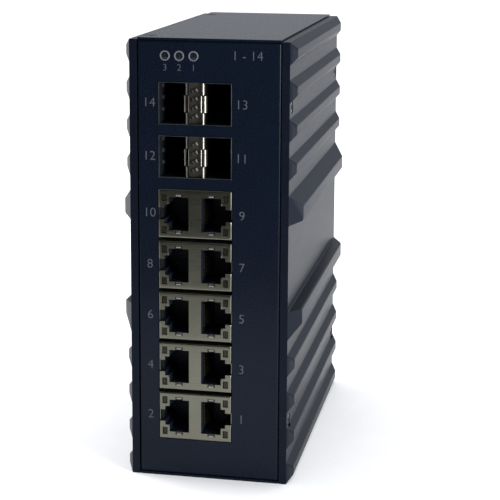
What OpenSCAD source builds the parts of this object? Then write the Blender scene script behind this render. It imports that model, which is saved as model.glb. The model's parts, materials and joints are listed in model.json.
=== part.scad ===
// Upright industrial network switch: ten copper jacks and four fibre module slots
// in a slim sheet-metal case between two ribbed aluminium side plates.
// X runs to the right of the front face, Y runs from front to back, Z is up.
// The origin is on the standing surface, under the middle of the case.

/* [Case] */
// Height of the side plates
case_h = 154.8; // [154:0.1:158]
// Depth of the case, front face to back plate
case_d = 117; // [116:0.5:130]
// Width of the front panel between the side plates
panel_w = 49.8; // [49.6:0.1:50.4]
// Thickness of the panel and back plate sheet
sheet_t = 1.0; // [0.8:0.1:1.2]
// Thickness of the top and bottom covers
cover_t = 0.8; // [0.7:0.1:0.9]
// How far the top cover stands above the side plates
cover_proud = 0.6; // [0.4:0.1:0.7]
// Depth of the folded flanges behind the front panel
flange_d = 10; // [9.5:0.5:11]

/* [Side plates] */
// Thickness of a side plate in the valleys between its ribs
plate_t = 2.65; // [2.5:0.05:3]
// Gap between the panel edge and each side plate
seam_gap = 0.15; // [0.1:0.05:0.2]
// Height that a small rib stands out
small_rib_out = 2.05; // [1.6:0.05:2.4]
// Height that a large rib stands out
big_rib_out = 3.95; // [3.4:0.05:4.4]
// Spacing of the small ribs
rib_pitch = 13.15; // [12.8:0.05:13.4]
// Front-to-back run of the bevel at the rib ends for each unit that the rib stands out
bevel_run = 1.85; // [1.4:0.05:2.1]

/* [Ports] */
// Sideways place of the middle of the port columns
port_x = -4.8; // [-5:0.1:-4.6]
// Height of the middle of the lowest jack block
jack_first_z = 22.35; // [22:0.05:23]
// Spacing of the jack blocks
jack_pitch = 18.16; // [18.1:0.02:18.3]
// Width of a jack block, which holds two jacks side by side
jack_w = 25.8; // [25.6:0.1:26]
// Height of a jack block
jack_h = 17.0; // [16.8:0.1:17.2]
// Depth of a jack block behind the panel
jack_depth = 31; // [29:0.5:33]
// Height of the middle of the lower fibre cage
sfp_first_z = 114.8; // [114.6:0.1:115.2]
// Spacing of the two fibre cages
sfp_pitch = 18.4; // [18:0.1:18.8]
// Depth of a fibre cage
sfp_depth = 56; // [52:1:60]
// Height of the row of status lamps
lamp_z = 149.4; // [149:0.1:149.6]
// Spacing of the status lamps
lamp_pitch = 4.95; // [4.8:0.05:5.1]

/* [Rail clip] */
// Height of the middle of the mounting rail
rail_z = 84; // [78:1:90]
// Travel of the sliding latch that frees the rail
latch_travel = 4.5; // [3:0.5:5]

/* [Hidden] */
JACKS = 5;
$fn = 48;
EPS = 0.01;
FIT = 0.05;

// Colours
NAVY = [0.085, 0.11, 0.165];
NICKEL = [0.62, 0.60, 0.56];
STEEL = [0.70, 0.71, 0.72];
BLACK = [0.06, 0.06, 0.07];
GOLD = [0.85, 0.68, 0.32];
BOARD = [0.06, 0.28, 0.16];
CLEAR = [0.80, 0.86, 0.82];

// Case
mid_z = case_h / 2;
top_z = case_h + cover_proud;
inner_x = panel_w / 2 + seam_gap;
plate_x = inner_x + plate_t;
cover_w = panel_w - 0.3;
cover_under = top_z - cover_t;
panel_bottom = cover_t + FIT;
panel_top = cover_under - FIT;
bend_r = 0.8;

// Side plates. Each rib is [middle above mid height, half width of its top,
// slope run on its upper side, slope run on its lower side, height it stands out].
small_top = 1.55;
small_slope = 2.3;
rib4_z = 34.4;
rib1_z = rib4_z + 2 * rib_pitch + 12.75;
RIBS = [
    [rib1_z, small_top, small_slope, small_slope, small_rib_out],
    [rib4_z + 2 * rib_pitch, small_top, small_slope, small_slope, small_rib_out],
    [rib4_z + rib_pitch, small_top, small_slope, small_slope, small_rib_out],
    [rib4_z, small_top, small_slope, small_slope, small_rib_out],
    [18.2, 2.58, 4.5, 0.6, big_rib_out]
];
rib_edge_r = 0.8;
rib_root_r = 0.5;

// Screws that hold the side plates to the panel and back plate
side_screw_y = 4.6;
side_screw_up = 55.2;
side_screw_d = 2.5;
side_head_d = 4.3;
side_bore_d = 4.8;
side_bore_depth = 1.7;

// Cover screws sit on the left of each cover
cover_screw_x = -21.8;
COVER_SCREW_Y = [7.3, 103.5];
cover_screw_d = 2.5;
cover_head_d = 5;
cover_head_h = 0.7;
back_flange_d = 18;
lip_h = 6;
LIP_Y = [12, 96];

// Jack block. Distances across the block are measured from its middle.
jack_bar = 2.18;
jack_open = 7.02;
jack_open_half = 5.85;
key1 = 1.56;
key1_half = 3.45;
key2_half = 2.1;
jack_front = -0.35;
shield_t = 0.25;
jack_hole_depth = 13.5;
led_w = 1.9;
led_h = 2.7;
led_from = 9.9;
led_up = 4.3;
contact_pitch = 1.02;
contact_w = 0.45;

// Fibre cage
sfp_w = 25.5;
sfp_h = 14.6;
sfp_front = -0.2;
sfp_wall = 0.3;
sfp_bar = 4.7;
sfp_wall_gap = 0.25;
sfp_conn_y = 44;

// Status lamps
lamp_first_x = port_x - 10.4;
lamp_d = 2.4;
bezel_d = 3.5;
bezel_out = 0.45;

// Circuit boards
board_t = 1.6;
main_x = port_x - jack_w / 2 - 0.1 - board_t;
MAIN_Y = [3, 108];
MAIN_Z = [5, 152];
power_x = 19.6;
POWER_Y = [20, 108];
POWER_Z = [2.5, 104];
MAIN_POSTS = [[14, 10], [14, 146], [100, 10], [100, 146]];
POWER_POSTS = [[26, 14], [26, 98], [102, 14], [102, 98]];
post_af = 5;
board_screw_d = 3;

// Power terminals, facing down through the bottom cover
term_ways = 6;
term_pitch = 5.08;
TERM_X = [8.6, 19.2];
term_y = 40;
term_l = term_ways * term_pitch + 3.2;
term_h = 12.5;
term_wall = 1.2;
term_hole_depth = 8.6;
term_pin_l = 4;

// Reset button and option switches, also facing down
reset_x = 14;
reset_y = 84;
reset_d = 2.2;
reset_travel = 0.5;
dip_x = 14;
dip_y = 94;
dip_pitch = 2.54;
dip_travel = 1.6;

// Rail clip on the back plate. Depths are measured from the back plate.
clip_w = 40;
clip_base_t = 2;
clip_seat = 6;
clip_slot = 1.4;
clip_out = 10.5;
rail_half = 17.5;
rail_lip = 2.6;
rail_play = 0.3;
latch_w = 24;
latch_t = 2.45;
latch_gap = 0.15;
latch_nose_w = 19;
latch_head_z = rail_z - 6;
latch_tail_z = rail_z - 54;
clip_bottom_z = rail_z - 40;
clip_top_z = rail_z + 24;
CLIP_SCREWS = [[-15.5, 10], [15.5, 10], [-15.5, -34], [15.5, -34]];
clip_screw_d = 3;
spring_d = 2;
spring_wire = 0.35;
spring_turns = 12;
spring_top_z = rail_z + 10;

// Helpers ----------------------------------------------------------------

// Moves children from a frame whose Y is zero at the front face.
module from_front() translate([0, -case_d / 2, 0]) children();

// A block given by its low and high corners.
module block(low, high) translate(low) cube(high - low);

// A cylinder along X from x0 to x1.
module rod_x(x0, x1, y, z, d, fn = $fn)
    translate([x0, y, z]) rotate([0, 90, 0]) cylinder(h = x1 - x0, d = d, $fn = fn);

// A cylinder along Y from y0 to y1.
module rod_y(y0, y1, x, z, d, fn = $fn)
    translate([x, y1, z]) rotate([90, 0, 0]) cylinder(h = y1 - y0, d = d, $fn = fn);

// A cylinder along Z from z0 to z1.
module rod_z(z0, z1, x, y, d, fn = $fn)
    translate([x, y, z0]) cylinder(h = z1 - z0, d = d, $fn = fn);

function unit(v) = v / norm(v);

// Points of an arc of radius r that rounds the corner p between a and b.
function corner(a, p, b, r, n = 3) =
    let (u = unit(a - p), v = unit(b - p),
         half = acos(u * v) / 2,
         reach = r / tan(half),
         c = p + unit(u + v) * r / sin(half),
         s = p + u * reach - c,
         e = p + v * reach - c,
         turn = 180 - 2 * half,
         way = s[0] * e[1] - s[1] * e[0] > 0 ? 1 : -1)
    [for (i = [0:n]) let (t = way * turn * i / n)
        c + [s[0] * cos(t) - s[1] * sin(t), s[0] * sin(t) + s[1] * cos(t)]];

// Rounds each corner of a closed outline of [x, y, radius] points.
function rounded(pts) =
    let (n = len(pts), xy = [for (p = pts) [p[0], p[1]]])
    [for (i = [0:n - 1])
        each (pts[i][2] == 0 ? [xy[i]]
            : corner(xy[(i + n - 1) % n], xy[i], xy[(i + 1) % n], pts[i][2]))];

// Side plates --------------------------------------------------------------

// Corners of one rib, from its upper root to its lower root.
function rib(r, up) = [
    [plate_x, mid_z + r[0] + r[1] + (up ? r[2] : r[3]), rib_root_r],
    [plate_x + r[4], mid_z + r[0] + r[1], rib_edge_r],
    [plate_x + r[4], mid_z + r[0] - r[1], rib_edge_r],
    [plate_x, mid_z + r[0] - r[1] - (up ? r[3] : r[2]), rib_root_r]
];
function below_mid(r) = [-r[0], r[1], r[2], r[3], r[4]];

side_profile = rounded(concat(
    [[inner_x, 0, 0], [inner_x, case_h, 0], [plate_x, case_h, 0]],
    [for (i = [0:len(RIBS) - 1]) each [for (p = rib(RIBS[i], true)) if (p[1] < case_h - EPS) p]],
    [for (i = [len(RIBS) - 1:-1:0])
        each [for (p = rib(below_mid(RIBS[i]), false)) if (p[1] > EPS) p]],
    [[plate_x, 0, 0]]
));

module side_plate() {
    reach = big_rib_out + 1;
    run = bevel_run * reach;
    difference() {
        intersection() {
            translate([0, case_d, 0]) rotate([90, 0, 0])
                linear_extrude(case_d) polygon(side_profile);
            linear_extrude(case_h) polygon([
                [inner_x, 0], [plate_x, 0], [plate_x + reach, run],
                [plate_x + reach, case_d - run], [plate_x, case_d], [inner_x, case_d]
            ]);
        }
        for (y = [side_screw_y, case_d - side_screw_y], up = [-side_screw_up, side_screw_up]) {
            rod_x(inner_x - 1, plate_x + reach, y, mid_z + up, side_screw_d + 0.2);
            rod_x(plate_x - side_bore_depth, plate_x + reach, y, mid_z + up, side_bore_d);
        }
        for (p = POWER_POSTS)
            rod_x(inner_x - 1, inner_x + 1.6, p[0], p[1], board_screw_d);
    }
}

module left_plate() {
    reach = big_rib_out + 1;
    mirror([1, 0, 0]) difference() {
        side_plate();
        for (p = MAIN_POSTS)
            rod_x(inner_x - 1, inner_x + 1.6, p[0], p[1], board_screw_d);
    }
}

module left_side_plate() color(NAVY) from_front() left_plate();
module right_side_plate() color(NAVY) from_front() side_plate();

module side_screws() color(BLACK) from_front()
    for (side = [0, 1], y = [side_screw_y, case_d - side_screw_y], up = [-side_screw_up, side_screw_up])
        mirror([side, 0, 0]) difference() {
            union() {
                rod_x(inner_x - 3, plate_x - 1, y, mid_z + up, side_screw_d);
                rod_x(plate_x - side_bore_depth, plate_x - 0.2, y, mid_z + up, side_head_d);
            }
            rod_x(plate_x - 1.2, plate_x, y, mid_z + up, 2, 6);
        }

// Case sheets ----------------------------------------------------------------

// A folded tray: a face with a flange behind each edge, and rounded outer bends.
module tray(x, z0, z1, flange, top_flange) {
    intersection() {
        difference() {
            block([-x, 0, z0], [x, max(flange, top_flange), z1]);
            block([-x + sheet_t, sheet_t, z0 + sheet_t], [x - sheet_t, top_flange + 1, z1 - sheet_t]);
            if (top_flange > flange)
                block([-x - 1, flange, z0 - 1], [-x + 2 * sheet_t, top_flange + 1, z1 + 1]);
            if (top_flange > flange)
                block([x - 2 * sheet_t, flange, z0 - 1], [x + 1, top_flange + 1, z1 + 1]);
        }
        linear_extrude(z1 + 1) polygon(rounded([
            [-x, 0, bend_r], [x, 0, bend_r], [x, top_flange + 1, 0], [-x, top_flange + 1, 0]
        ]));
        translate([x + 1, 0, 0]) rotate([0, -90, 0]) linear_extrude(2 * x + 2) polygon(rounded([
            [z0, 0, bend_r], [z1, 0, bend_r], [z1, top_flange + 1, 0], [z0, top_flange + 1, 0]
        ]));
    }
}

module flange_holes() for (side = [-1, 1], up = [-side_screw_up, side_screw_up])
    rod_x(min(side * (inner_x - 3), side * inner_x), max(side * (inner_x - 3), side * inner_x),
        side_screw_y, mid_z + up, side_screw_d + 0.1);

module front_panel() color(NAVY) from_front() difference() {
    tray(panel_w / 2, panel_bottom, panel_top, flange_d, flange_d);
    flange_holes();
    // one tall window for the five jack blocks
    block([port_x - jack_w / 2 - 0.15, -1, jack_first_z - jack_h / 2 - 0.15],
        [port_x + jack_w / 2 + 0.15, sheet_t + 1,
            jack_first_z + (JACKS - 1) * jack_pitch + jack_h / 2 + 0.15]);
    for (i = [0, 1])
        block([port_x - sfp_w / 2 - 0.15, -1, sfp_z(i) - sfp_h / 2 - 0.15],
            [port_x + sfp_w / 2 + 0.15, sheet_t + 1, sfp_z(i) + sfp_h / 2 + 0.15]);
    for (i = [0:2]) rod_y(-1, sheet_t + 1, lamp_first_x + i * lamp_pitch, lamp_z, lamp_d + 0.4);
    for (z = [panel_bottom - 1, panel_top - 2])
        rod_z(z, z + 3, cover_screw_x, COVER_SCREW_Y[0], cover_screw_d + 0.1);
}

module back_plate() color(NAVY) from_front() difference() {
    translate([0, case_d, 0]) mirror([0, 1, 0]) difference() {
        tray(panel_w / 2, panel_bottom, panel_top, flange_d, back_flange_d);
        flange_holes();
    }
    for (z = [panel_bottom - 1, panel_top - 2])
        rod_z(z, z + 3, cover_screw_x, COVER_SCREW_Y[1], cover_screw_d + 0.1);
    for (p = CLIP_SCREWS)
        rod_y(case_d - sheet_t - 1, case_d + 1, p[0], rail_z + p[1], clip_screw_d + 0.1);
    rod_y(case_d - sheet_t - 1, case_d + 1, GROUND[0], GROUND[1], GROUND_D + 0.1);
}

// A cover plate with a folded lip along each side, drawn with its outer face at z = 0, facing down.
module cover_sheet() {
    half = cover_w / 2;
    difference() {
        union() {
            block([-half, 0, 0], [half, case_d, cover_t]);
            for (side = [0, 1]) mirror([side, 0, 0])
                block([half - cover_t, LIP_Y[0], cover_t / 2], [half, LIP_Y[1], lip_h]);
        }
        for (y = COVER_SCREW_Y) {
            rod_z(-1, cover_t + 1, cover_screw_x, y, cover_screw_d + 0.1);
            translate([cover_screw_x, y, -EPS])
                cylinder(h = cover_head_h + EPS, d1 = cover_head_d + 0.1, d2 = cover_screw_d + 0.1);
        }
    }
}

module top_cover() color(NAVY) from_front()
    translate([0, 0, top_z]) mirror([0, 0, 1]) cover_sheet();

module bottom_cover() color(NAVY) from_front() difference() {
    cover_sheet();
    block([TERM_X[0] - 0.2, term_y - 0.2, -1], [TERM_X[1] + 0.2, term_y + term_l + 0.2, cover_t + 1]);
    rod_z(-1, cover_t + 1, reset_x, reset_y, reset_d + 0.8);
    block([dip_x - 2.4, dip_y - 1, -1], [dip_x + 2.4, dip_y + dip_pitch + 1, cover_t + 1]);
}

module cover_screws() color(BLACK) from_front()
    for (lower = [0, 1], y = COVER_SCREW_Y)
        translate([0, 0, lower ? 0 : top_z]) mirror([0, 0, lower ? 0 : 1])
            translate([cover_screw_x, y, 0]) difference() {
                union() {
                    translate([0, 0, 0.05])
                        cylinder(h = cover_head_h - 0.05, d1 = cover_head_d - 0.2, d2 = cover_screw_d);
                    translate([0, 0, 0.05]) cylinder(h = 5, d = cover_screw_d);
                }
                for (a = [0, 90]) rotate([0, 0, a])
                    translate([-1.3, -0.25, -EPS]) cube([2.6, 0.5, 0.5]);
            }

// Status lamps ---------------------------------------------------------------

module led_bezels() color(STEEL) from_front() for (i = [0:2]) difference() {
    x = lamp_first_x + i * lamp_pitch;
    union() {
        rod_y(-bezel_out, -FIT / 2, x, lamp_z, bezel_d);
        rod_y(-bezel_out, sheet_t, x, lamp_z, lamp_d + 0.35);
    }
    rod_y(-1, sheet_t + 1, x, lamp_z, lamp_d + 0.05);
}

module status_leds() color(CLEAR) from_front() for (i = [0:2]) {
    x = lamp_first_x + i * lamp_pitch;
    rod_y(-0.15, 4.2, x, lamp_z, lamp_d);
    rod_y(3.2, 4.2, x, lamp_z, lamp_d + 0.8);
}

module led_holder() color(BLACK) from_front()
    block([main_x + board_t + FIT, 4.2 + FIT, lamp_z - 2.3],
        [lamp_first_x + 2 * lamp_pitch + 2.4, 9.5, lamp_z + 2.3]);

// Fibre cages ----------------------------------------------------------------

function sfp_z(i) = sfp_first_z + i * sfp_pitch;
sfp_port_w = (sfp_w - sfp_bar) / 2 - sfp_wall - sfp_wall_gap;

// One folded cage: an outer box, and two inner walls that leave a bar between the slots.
module sfp_cage(i) color(NICKEL) from_front() translate([port_x, 0, sfp_z(i)]) {
    x = sfp_w / 2;
    z = sfp_h / 2;
    difference() {
        block([-x, sfp_front, -z], [x, sfp_depth, z]);
        for (side = [0, 1]) mirror([side, 0, 0])
            block([sfp_bar / 2 + sfp_wall, -1, -z + sfp_wall],
                [x - sfp_wall, sfp_depth - sfp_wall, z - sfp_wall]);
        block([-sfp_bar / 2, 1.2, -z + sfp_wall], [sfp_bar / 2, sfp_depth - sfp_wall, z - sfp_wall]);
        block([-sfp_bar / 2, -1, -z + 1.2], [sfp_bar / 2, 2, z - 1.2]);
        // rear opening over the board for the connector tails
        block([-x - 1, sfp_conn_y + 1, -z + 1.5], [-x + 1, sfp_depth - 1.5, z - 1.5]);
    }
}

// Spring fingers that ground a module: a strip down the centre bar and one on each outer wall.
module sfp_fingers(i) color(NICKEL) from_front() translate([port_x, 0, sfp_z(i)]) {
    z = sfp_h / 2 - 1.6;
    pitch = 2 * z / 4;
    difference() {
        block([-sfp_bar / 2 + FIT, 0.3, -z], [sfp_bar / 2 - FIT, 0.6, z]);
        for (k = [0:3])
            block([-1.5, 0, -z + pitch * (k + 0.5) - 1], [1.5, 1, -z + pitch * (k + 0.5) + 1]);
    }
    for (k = [0:3]) translate([0, 0, -z + pitch * (k + 0.5) - 0.8])
        linear_extrude(1.6) polygon([
            [-1.5, 0.3], [-0.8, -0.1], [0.8, -0.1], [1.5, 0.3],
            [1.5, 0.6], [0.7, 0.15], [-0.7, 0.15], [-1.5, 0.6]
        ]);
}

module sfp_connectors(i) color(BLACK) from_front() translate([port_x, 0, sfp_z(i)])
    for (side = [0, 1]) mirror([side, 0, 0]) difference() {
        block([sfp_bar / 2 + sfp_wall + 0.4, sfp_conn_y, -6],
            [sfp_bar / 2 + sfp_wall + 7.6, sfp_conn_y + 9.5, 6]);
        block([sfp_bar / 2 + sfp_wall + 3.3, sfp_conn_y - 1, -5.2],
            [sfp_bar / 2 + sfp_wall + 4.7, sfp_conn_y + 6, 5.2]);
    }

// Jack blocks ----------------------------------------------------------------

function jack_z(i) = jack_first_z + (i - 1) * jack_pitch;

// The stepped mouth of one jack, as a solid to cut away, latch side outwards.
module jack_mouth(y0, y1, edge) {
    block([jack_bar, y0, -jack_open_half], [jack_bar + jack_open, y1, jack_open_half]);
    block([jack_bar + jack_open - 1, y0, -key1_half],
        [jack_bar + jack_open + key1, y1, key1_half]);
    block([jack_bar + jack_open, y0, -key2_half], [edge, y1, key2_half]);
}

module jack_leds(y0, y1, slack) for (up = [0, 1]) mirror([0, 0, up])
    block([led_from - slack, y0, led_up - slack], [led_from + led_w + slack, y1, led_up + led_h + slack]);

// A stamped shield: five-sided shell with the two mouths and four lamp windows in its face.
module jack_shield(i) color(NICKEL) from_front() translate([port_x, 0, jack_z(i)]) {
    x = jack_w / 2;
    z = jack_h / 2;
    difference() {
        block([-x, jack_front, -z], [x, jack_depth, z]);
        block([-x + shield_t, jack_front + shield_t, -z + shield_t],
            [x - shield_t, jack_depth - shield_t, z - shield_t]);
        for (side = [0, 1]) mirror([side, 0, 0]) {
            jack_mouth(-1, 1, x + 1);
            jack_leds(-1, 1, 0.1);
        }
        // the board side is open behind a short tab
        block([-x - 1, 6, -z + shield_t], [-x + 1, jack_depth - shield_t, z - shield_t]);
    }
}

module jack_body(i) color(BLACK) from_front() translate([port_x, 0, jack_z(i)]) {
    x = jack_w / 2 - shield_t - FIT;
    z = jack_h / 2 - shield_t - FIT;
    difference() {
        block([-x, jack_front + shield_t + FIT, -z], [x, jack_depth - shield_t - FIT, z]);
        for (side = [0, 1]) mirror([side, 0, 0]) {
            jack_mouth(-1, jack_hole_depth, x - 0.5);
            jack_mouth(-1, 2.5, x + 1);
            jack_leds(-1, 4, 0.1);
        }
    }
}

module jack_contacts(i) color(GOLD) from_front() translate([port_x, 0, jack_z(i)])
    for (side = [0, 1], k = [0:7]) mirror([side, 0, 0])
        translate([0, 0, (k - 3.5) * contact_pitch - contact_w / 2]) linear_extrude(contact_w)
            polygon([for (p = [
                [0.15, jack_hole_depth], [0.15, 3.2], [0.3, 2.9], [0.55, 2.95],
                [2.3, 9.8], [2.05, 9.9], [0.45, 3.9], [0.45, jack_hole_depth]
            ]) [jack_bar + p[0], p[1]]]);

module port_light_pipes() color(CLEAR) from_front()
    for (i = [1:JACKS]) translate([port_x, 0, jack_z(i)])
        for (side = [0, 1]) mirror([side, 0, 0]) jack_leds(jack_front - 0.05, 3.95, 0);

// Main board -----------------------------------------------------------------

module main_board() color(BOARD) from_front() difference() {
    block([main_x, MAIN_Y[0], MAIN_Z[0]], [main_x + board_t, MAIN_Y[1], MAIN_Z[1]]);
    for (p = MAIN_POSTS) rod_x(main_x - 1, main_x + board_t + 1, p[0], p[1], board_screw_d + 0.2);
}

// The switching chip sits on the board's left face, against the side plate.
CHIP_Y = 72;
CHIP_Z = 84;
chip_side = 23;
chip_t = 2.2;
phy_side = 12;
phy_t = 1.2;
module switch_chip() color(BLACK) from_front()
    block([main_x - chip_t, CHIP_Y - chip_side / 2, CHIP_Z - chip_side / 2],
        [main_x, CHIP_Y + chip_side / 2, CHIP_Z + chip_side / 2]);

PHYS = [[40, 34], [40, 70], [62, 118], [84, 118]];
module phy_chips() color(BLACK) from_front() for (p = PHYS)
    block([main_x - phy_t, p[0] - phy_side / 2, p[1] - phy_side / 2],
        [main_x, p[0] + phy_side / 2, p[1] + phy_side / 2]);

module chip_pads() color([0.45, 0.55, 0.62]) from_front() {
    block([-inner_x, CHIP_Y - 11, CHIP_Z - 11], [main_x - chip_t, CHIP_Y + 11, CHIP_Z + 11]);
    for (p = PHYS)
        block([-inner_x, p[0] - 5.5, p[1] - 5.5], [main_x - phy_t, p[0] + 5.5, p[1] + 5.5]);
}

// Hexagonal posts from each side plate to its board.
module post(x0, x1, y, z) difference() {
    rod_x(x0, x1, y, z, post_af / cos(30), 6);
    rod_x(x0 - 1, x1 + 1, y, z, board_screw_d - 0.1);
}
module board_standoffs() color(STEEL) from_front() {
    for (p = MAIN_POSTS) post(-inner_x, main_x, p[0], p[1]);
    for (p = POWER_POSTS) post(power_x + board_t, inner_x, p[0], p[1]);
}

// Board screws pass the board and end in the post.
module board_screw(x, way, y, z) translate([x, y, z]) rotate([0, 90 * way, 0]) difference() {
    union() {
        cylinder(h = 1.8, d = 5.6);
        translate([0, 0, -board_t - 2.4]) cylinder(h = board_t + 2.5, d = board_screw_d - 0.2);
    }
    for (a = [0, 90]) rotate([0, 0, a]) translate([-1.6, -0.3, 1]) cube([3.2, 0.6, 1]);
}
module board_screws() color(STEEL) from_front() {
    for (p = MAIN_POSTS) board_screw(main_x + board_t, 1, p[0], p[1]);
    for (p = POWER_POSTS) board_screw(power_x, -1, p[0], p[1]);
}

// Power board ----------------------------------------------------------------

module power_board() color(BOARD) from_front() difference() {
    block([power_x, POWER_Y[0], POWER_Z[0]], [power_x + board_t, POWER_Y[1], POWER_Z[1]]);
    for (p = POWER_POSTS) rod_x(power_x - 1, power_x + board_t + 1, p[0], p[1], board_screw_d + 0.2);
}

module power_transformer() color([0.25, 0.24, 0.22]) from_front() difference() {
    block([power_x - 15, 62, 44], [power_x, 84, 68]);
    for (z = [47, 61]) block([power_x - 12, 61, z], [power_x - 3, 66, z + 4]);
}

module power_inductor() color([0.35, 0.35, 0.36]) from_front()
    translate([power_x - 7, 52, 84]) rotate([0, 90, 0]) {
        cylinder(h = 7, d = 14);
        translate([-7, -7, 5.5]) cube([14, 14, 1.5]);
    }

CAPS = [[46, 30], [58, 30], [70, 30]];
module bulk_capacitors() color([0.12, 0.12, 0.14]) from_front() for (p = CAPS) difference() {
    rod_x(power_x - 14, power_x, p[0], p[1], 10);
    rod_x(power_x - 15, power_x - 13.7, p[0], p[1], 8);
}

TRANSISTORS = [[90, 50], [90, 66]];
module power_transistors() color(BLACK) from_front() for (p = TRANSISTORS)
    block([power_x + board_t, p[0] - 5, p[1] - 5], [power_x + board_t + 2.3, p[0] + 5, p[1] + 5]);

module power_pads() color([0.45, 0.55, 0.62]) from_front() for (p = TRANSISTORS)
    block([power_x + board_t + 2.3, p[0] - 5, p[1] - 5], [inner_x, p[0] + 5, p[1] + 5]);

module alarm_relay() color([0.86, 0.86, 0.84]) from_front()
    block([power_x - 10, 88, 20], [power_x, 103, 30]);

// Plug and socket between the two boards: a pillar across the case.
module board_link() color(BLACK) from_front() {
    block([main_x + board_t, 93, 60], [power_x - 9, 99, 74]);
    block([power_x - 9, 92, 59], [power_x, 100, 75]);
}

// Terminals, button and option switches facing down -------------------------------

module terminal_header() color([0.10, 0.34, 0.22]) from_front() difference() {
    block([TERM_X[0], term_y, 0.3], [TERM_X[1], term_y + term_l, term_h]);
    block([TERM_X[0] + term_wall, term_y + term_wall, -1],
        [TERM_X[1] - term_wall, term_y + term_l - term_wall, term_hole_depth]);
}

module terminal_pins() color(STEEL) from_front() for (k = [0:term_ways - 1])
    translate([(TERM_X[0] + TERM_X[1]) / 2 - 0.5,
            term_y + 1.6 + (k + 0.5) * term_pitch - 0.5, term_hole_depth - term_pin_l])
        cube([1, 1, term_pin_l]);

// The cap passes the bottom cover and stops short of the standing surface.
module reset_button() color([0.75, 0.12, 0.10]) from_front() {
    rod_z(0.3, 3.4, reset_x, reset_y, reset_d);
    rod_z(3, 3.4, reset_x, reset_y, reset_d + 0.8);
}
module reset_switch() color(BLACK) from_front() difference() {
    block([reset_x - 3, reset_y - 3, 2.2], [power_x, reset_y + 3, 7.5]);
    rod_z(2, 4.1, reset_x, reset_y, reset_d + 1.2);
}

// Each slider works across its own slot in the body.
module dip_switch_body() color([0.70, 0.12, 0.10]) from_front() difference() {
    block([dip_x - 3.2, dip_y - 1.7, 1.2], [power_x, dip_y + dip_pitch + 1.7, 7]);
    for (k = [0, 1])
        block([dip_x - 2, dip_y + k * dip_pitch - 0.7, 1], [dip_x + 2, dip_y + k * dip_pitch + 0.7, 3]);
}
module dip_slider(k) color([0.92, 0.92, 0.90]) from_front()
    translate([dip_x - dip_travel / 2, dip_y + k * dip_pitch, 0]) {
        block([-1, -0.65, 1.7], [1, 0.65, 2.9]);
        block([-0.6, -0.6, 0.5], [0.6, 0.6, 1.8]);
    }

// Rail clip --------------------------------------------------------------------

module at_back() translate([0, case_d / 2, 0]) children();

module din_bracket() color(STEEL) at_back() difference() {
    half = clip_w / 2;
    channel = latch_w / 2 + latch_gap;
    union() {
        block([-half, 0, clip_bottom_z], [half, clip_seat, clip_top_z]);
        // hook over the top edge of the rail
        block([-half, clip_seat - EPS, rail_z + rail_half + rail_play],
            [half, clip_out, clip_top_z]);
        block([-half, clip_seat + clip_slot, rail_z + rail_half - rail_lip],
            [half, clip_out, rail_z + rail_half + rail_play + EPS]);
    }
    // channel for the latch, and the slot that its nose rises through
    block([-channel, clip_base_t, clip_bottom_z - 1],
        [channel, clip_base_t + latch_t + 2 * latch_gap, latch_head_z + 0.3]);
    block([-latch_nose_w / 2 - 0.2, clip_base_t, clip_bottom_z - 1],
        [latch_nose_w / 2 + 0.2, clip_seat + 1, latch_head_z + 0.3]);
    // pocket for the spring
    block([-spring_d / 2 - 0.4, clip_base_t, latch_head_z - 1],
        [spring_d / 2 + 0.4, clip_seat + 1, spring_top_z]);
    for (p = CLIP_SCREWS) {
        rod_y(-1, clip_seat + 1, p[0], rail_z + p[1], clip_screw_d + 0.2);
        rod_y(clip_base_t + 1, clip_seat + 1, p[0], rail_z + p[1], 5.4);
    }
}

// The latch slides down against its spring. Its nose grips the lower edge of the rail.
module din_latch() color([0.16, 0.16, 0.17]) at_back() {
    y0 = clip_base_t + latch_gap;
    nose_top = rail_z - rail_half + rail_lip;
    difference() {
        union() {
            block([-latch_w / 2, y0, latch_tail_z], [latch_w / 2, y0 + latch_t, latch_head_z]);
            translate([-latch_nose_w / 2, 0, 0]) rotate([90, 0, 90])
                linear_extrude(latch_nose_w) polygon([
                    [y0 + latch_t - EPS, rail_z - rail_half - rail_play - 8],
                    [clip_out - 3, rail_z - rail_half - rail_play - 8],
                    [clip_out, nose_top - 4.5], [clip_out, nose_top - 2.8],
                    [clip_seat + clip_slot, nose_top],
                    [clip_seat + clip_slot, rail_z - rail_half - rail_play],
                    [y0 + latch_t - EPS, rail_z - rail_half - rail_play]
                ]);
        }
        block([-5, 0, latch_tail_z + 4], [5, clip_seat, latch_tail_z + 7.5]);
        block([-spring_d / 2 - 0.3, 0, latch_head_z - 3], [spring_d / 2 + 0.3, clip_seat, latch_head_z + 1]);
    }
}

// One closed tube swept along a helix from z0 up to z1.
module helix(r, wire, turns, z0, z1, steps = 10, sides = 6) {
    n = turns * steps;
    pts = [for (i = [0:n], k = [0:sides - 1])
        let (a = 360 * i / steps, b = 360 * k / sides, q = r + wire / 2 * cos(b))
        [q * cos(a), q * sin(a), z0 + (z1 - z0) * i / n + wire / 2 * sin(b)]];
    walls = [for (i = [0:n - 1], k = [0:sides - 1]) let (m = (k + 1) % sides)
        [i * sides + k, (i + 1) * sides + k, (i + 1) * sides + m, i * sides + m]];
    ends = [[for (k = [0:sides - 1]) k], [for (k = [sides - 1:-1:0]) n * sides + k]];
    polyhedron(points = pts, faces = concat(walls, ends), convexity = 10);
}

module din_spring() color(STEEL) at_back()
    translate([0, clip_base_t + latch_gap + 1.3, 0])
        helix(spring_d / 2 - spring_wire / 2, spring_wire, spring_turns,
            latch_head_z - 2.7, spring_top_z - 0.3);

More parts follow.
